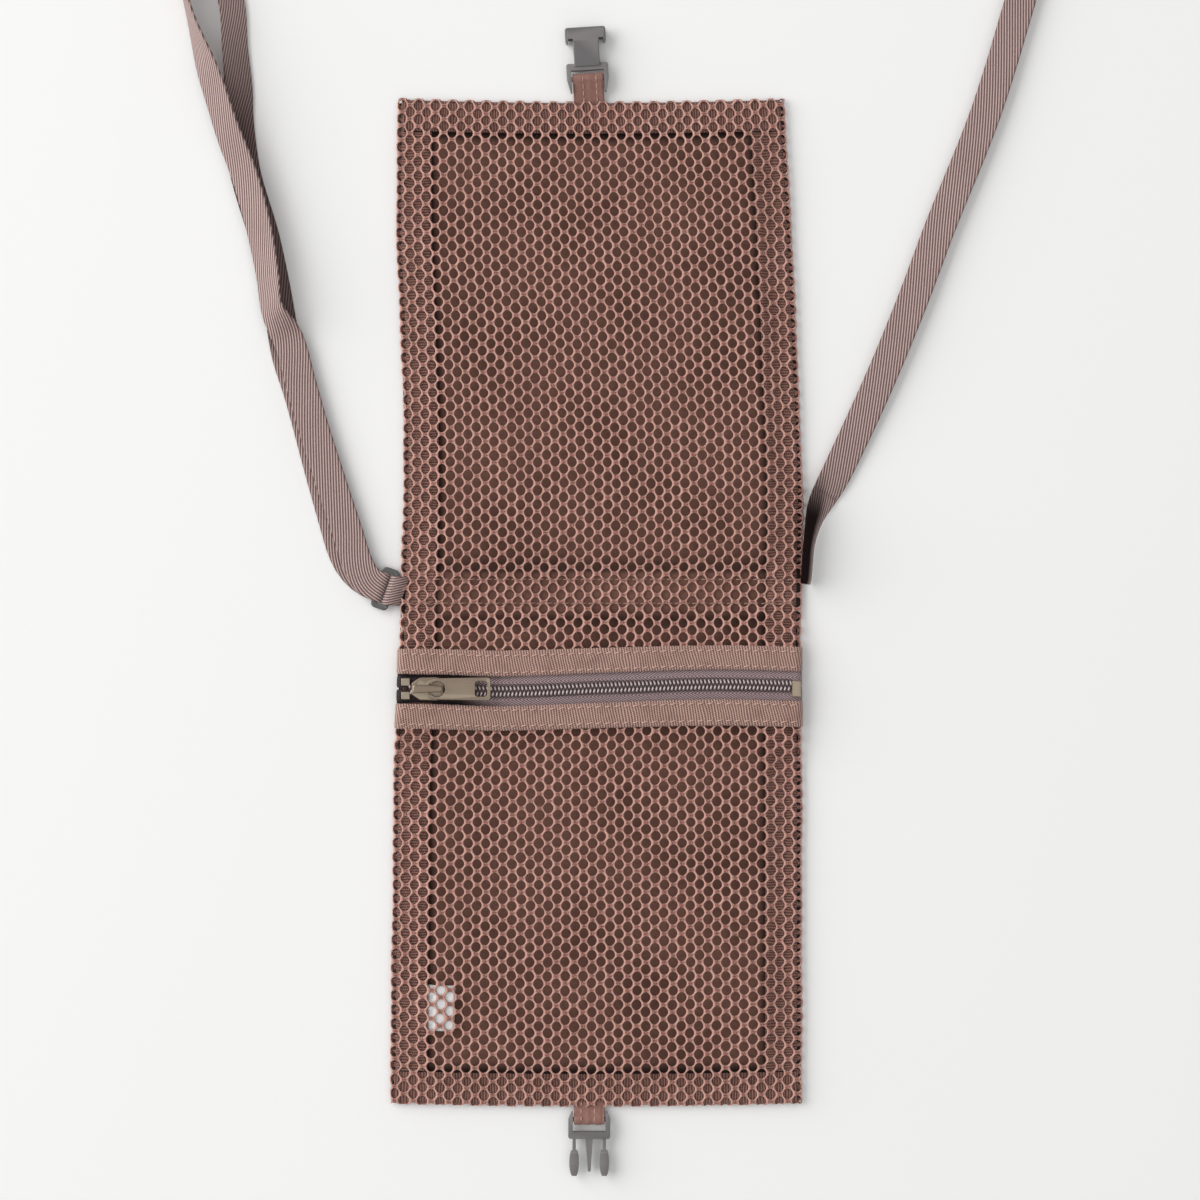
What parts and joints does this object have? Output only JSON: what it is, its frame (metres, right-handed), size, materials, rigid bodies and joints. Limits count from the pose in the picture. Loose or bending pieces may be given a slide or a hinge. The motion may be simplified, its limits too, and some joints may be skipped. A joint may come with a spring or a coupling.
{
  "type": "neck pouch wallet",
  "caption": "Flat neck pouch that folds in half, with mesh-fronted pockets, a zip, a side-release buckle to close it and an adjustable neck strap.",
  "frame": {"origin": "middle of the pouch's width on its fold line, on the back face of the strap bearer, pouch open flat", "axes": "+X across the pouch to the zip's open end, +Y along the pouch to the buckle socket, +Z out of the mesh front"},
  "size_m": [0.3206, 0.5692, 0.0086],
  "materials": {
    "back_cloth": "plain weave, matt",
    "mesh_net": "warp-knitted hexagon net, matt",
    "grosgrain": "cross-ribbed, slight sheen",
    "webbing": "fine twill, matt",
    "tab_cloth": "plain weave, matt",
    "zip_tape": "herringbone, matt",
    "zip_coil": "satin nylon",
    "slider_metal": "satin paint",
    "buckle_plastic": "moulded satin",
    "ring_plastic": "moulded satin",
    "label_cloth": "woven satin, blank"
  },
  "bodies": {
    "upper_half": {"upper_back_panel": "back_cloth", "upper_mesh_panel": "mesh_net", "binding_top": "grosgrain", "binding_upper_left": "grosgrain", "binding_upper_right": "grosgrain", "spine_webbing": "webbing", "ring_tab": "webbing"},
    "lower_half": {"lower_back_panel": "back_cloth", "mesh_above_zip": "mesh_net", "lower_mesh_panel": "mesh_net", "binding_bottom": "grosgrain", "binding_lower_left": "grosgrain", "binding_lower_right": "grosgrain", "care_label": "label_cloth", "zip_facing_upper": "grosgrain", "zip_facing_lower": "grosgrain", "zip_tape_upper": "zip_tape", "zip_tape_lower": "zip_tape", "zip_coil_upper": "zip_coil", "zip_coil_lower": "zip_coil", "zip_top_stops": "slider_metal", "zip_bottom_stop": "slider_metal"},
    "zip_slider": {"slider_body": "slider_metal"},
    "zip_pull": {"pull_tab": "slider_metal"},
    "buckle_socket_end": {"buckle_socket": "buckle_plastic", "socket_tab": "tab_cloth"},
    "buckle_plug_end": {"plug_base": "buckle_plastic", "plug_tab": "tab_cloth"},
    "plug_arm_left": {"plug_arm_left": "buckle_plastic"},
    "plug_arm_right": {"plug_arm_right": "buckle_plastic"},
    "neck_strap": {"strap_main": "webbing", "strap_return": "webbing", "strap_ring": "ring_plastic"},
    "strap_adjuster": {"adjuster": "ring_plastic", "adjuster_loop": "webbing"}
  },
  "joints": [
    {"name": "pouch_fold", "type": "hinge", "parent": "upper_half", "child": "lower_half", "pos_m": [0, 0, 0.0072], "axis": [-1, 0, 0], "range_deg": [0, 180]},
    {"name": "zip_slide", "type": "slide", "parent": "lower_half", "child": "zip_slider", "axis": [1, 0, 0], "range_m": [0, 0.112]},
    {"name": "zip_pull_flip", "type": "hinge", "parent": "zip_slider", "child": "zip_pull", "pos_m": [-0.0556, -0.0281, 0.00725], "axis": [0, -1, 0], "range_deg": [0, 180]},
    {"name": "socket_tilt", "type": "hinge", "parent": "upper_half", "child": "buckle_socket_end", "pos_m": [-0.0035, 0.1636, 0.0025], "axis": [-1, 0, 0], "range_deg": [-90, 60]},
    {"name": "plug_tilt", "type": "hinge", "parent": "lower_half", "child": "buckle_plug_end", "pos_m": [-0.0035, -0.1636, 0.0025], "axis": [1, 0, 0], "range_deg": [-90, 60]},
    {"name": "plug_squeeze_left", "type": "hinge", "parent": "buckle_plug_end", "child": "plug_arm_left", "pos_m": [-0.0084, -0.1749, 0.0025], "axis": [0, 0, 1], "range_deg": [0, 8]},
    {"name": "plug_squeeze_right", "type": "hinge", "parent": "buckle_plug_end", "child": "plug_arm_right", "pos_m": [0.0014, -0.1749, 0.0025], "axis": [0, 0, 1], "range_deg": [-8, 0]},
    {"name": "strap_swing", "type": "hinge", "parent": "upper_half", "child": "neck_strap", "pos_m": [0, 0.0039, 0.0017], "axis": [1, 0, 0], "range_deg": [0, 180], "deforming": ["ring_tab"]},
    {"name": "adjuster_slide", "type": "slide", "parent": "neck_strap", "child": "strap_adjuster", "axis": [-0.279, 0.9603, 0], "range_m": [-0.17, 0], "deforming": ["strap_return"]}
  ],
  "couplings": [
    {"joint": "plug_squeeze_right", "follows": "plug_squeeze_left", "ratio": -1}
  ]
}
